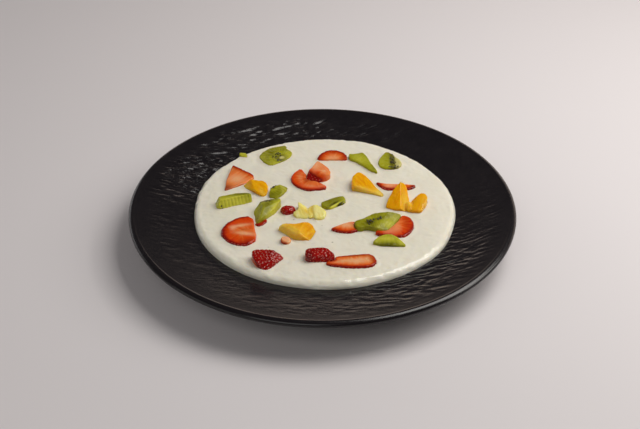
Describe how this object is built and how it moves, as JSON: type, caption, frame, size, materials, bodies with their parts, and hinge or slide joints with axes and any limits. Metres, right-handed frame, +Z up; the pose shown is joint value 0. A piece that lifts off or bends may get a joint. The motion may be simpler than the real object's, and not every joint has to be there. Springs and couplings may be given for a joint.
{
  "type": "rice pudding",
  "caption": "Round pool of creamy rice pudding topped with cut kiwi, strawberry, orange and pineapple, in a wide shallow black coupe plate.",
  "frame": {"origin": "under the plate's axis, on the surface that its foot ring stands on", "axes": "+Z up along the plate's axis, +Y away from the viewer, +X to the right"},
  "size_m": [0.27, 0.27, 0.0324],
  "materials": {
    "black_stoneware": "satin black glaze over a slate-like relief",
    "cream": "smooth wet cream with faint grains",
    "kiwi_flesh": "wet cut flesh",
    "strawberry_flesh": "wet cut flesh and skin",
    "orange_flesh": "wet cut flesh",
    "pineapple_flesh": "wet cut flesh"
  },
  "bodies": {
    "root": {"plate": "black_stoneware", "pudding": "cream", "kiwi_half_round": "kiwi_flesh", "kiwi_crumb": "kiwi_flesh", "kiwi_leaf_left": "kiwi_flesh", "kiwi_ribbed_chunk": "kiwi_flesh", "kiwi_wedge_left": "kiwi_flesh", "kiwi_leaf_middle": "kiwi_flesh", "kiwi_bent_strip": "kiwi_flesh", "kiwi_half_cored": "kiwi_flesh", "kiwi_slab_right": "kiwi_flesh", "kiwi_half_moon": "kiwi_flesh", "strawberry_wedge_left": "strawberry_flesh", "strawberry_scrap_left": "strawberry_flesh", "strawberry_slice_big": "strawberry_flesh", "strawberry_tip_front": "strawberry_flesh", "strawberry_scrap_middle": "strawberry_flesh", "strawberry_cube_pale": "strawberry_flesh", "strawberry_crescent": "strawberry_flesh", "strawberry_wedge_back": "strawberry_flesh", "strawberry_half_round": "strawberry_flesh", "strawberry_sliver_right": "strawberry_flesh", "strawberry_wedge_middle": "strawberry_flesh", "strawberry_slice_right": "strawberry_flesh", "strawberry_chunk_front": "strawberry_flesh", "strawberry_slice_long": "strawberry_flesh", "orange_chunk_left": "orange_flesh", "orange_chunk_middle": "orange_flesh", "orange_wedge_right": "orange_flesh", "orange_peak_right": "orange_flesh", "orange_lobe_right": "orange_flesh", "pineapple_flap": "pineapple_flesh", "pineapple_block": "pineapple_flesh"}
  },
  "joints": []
}
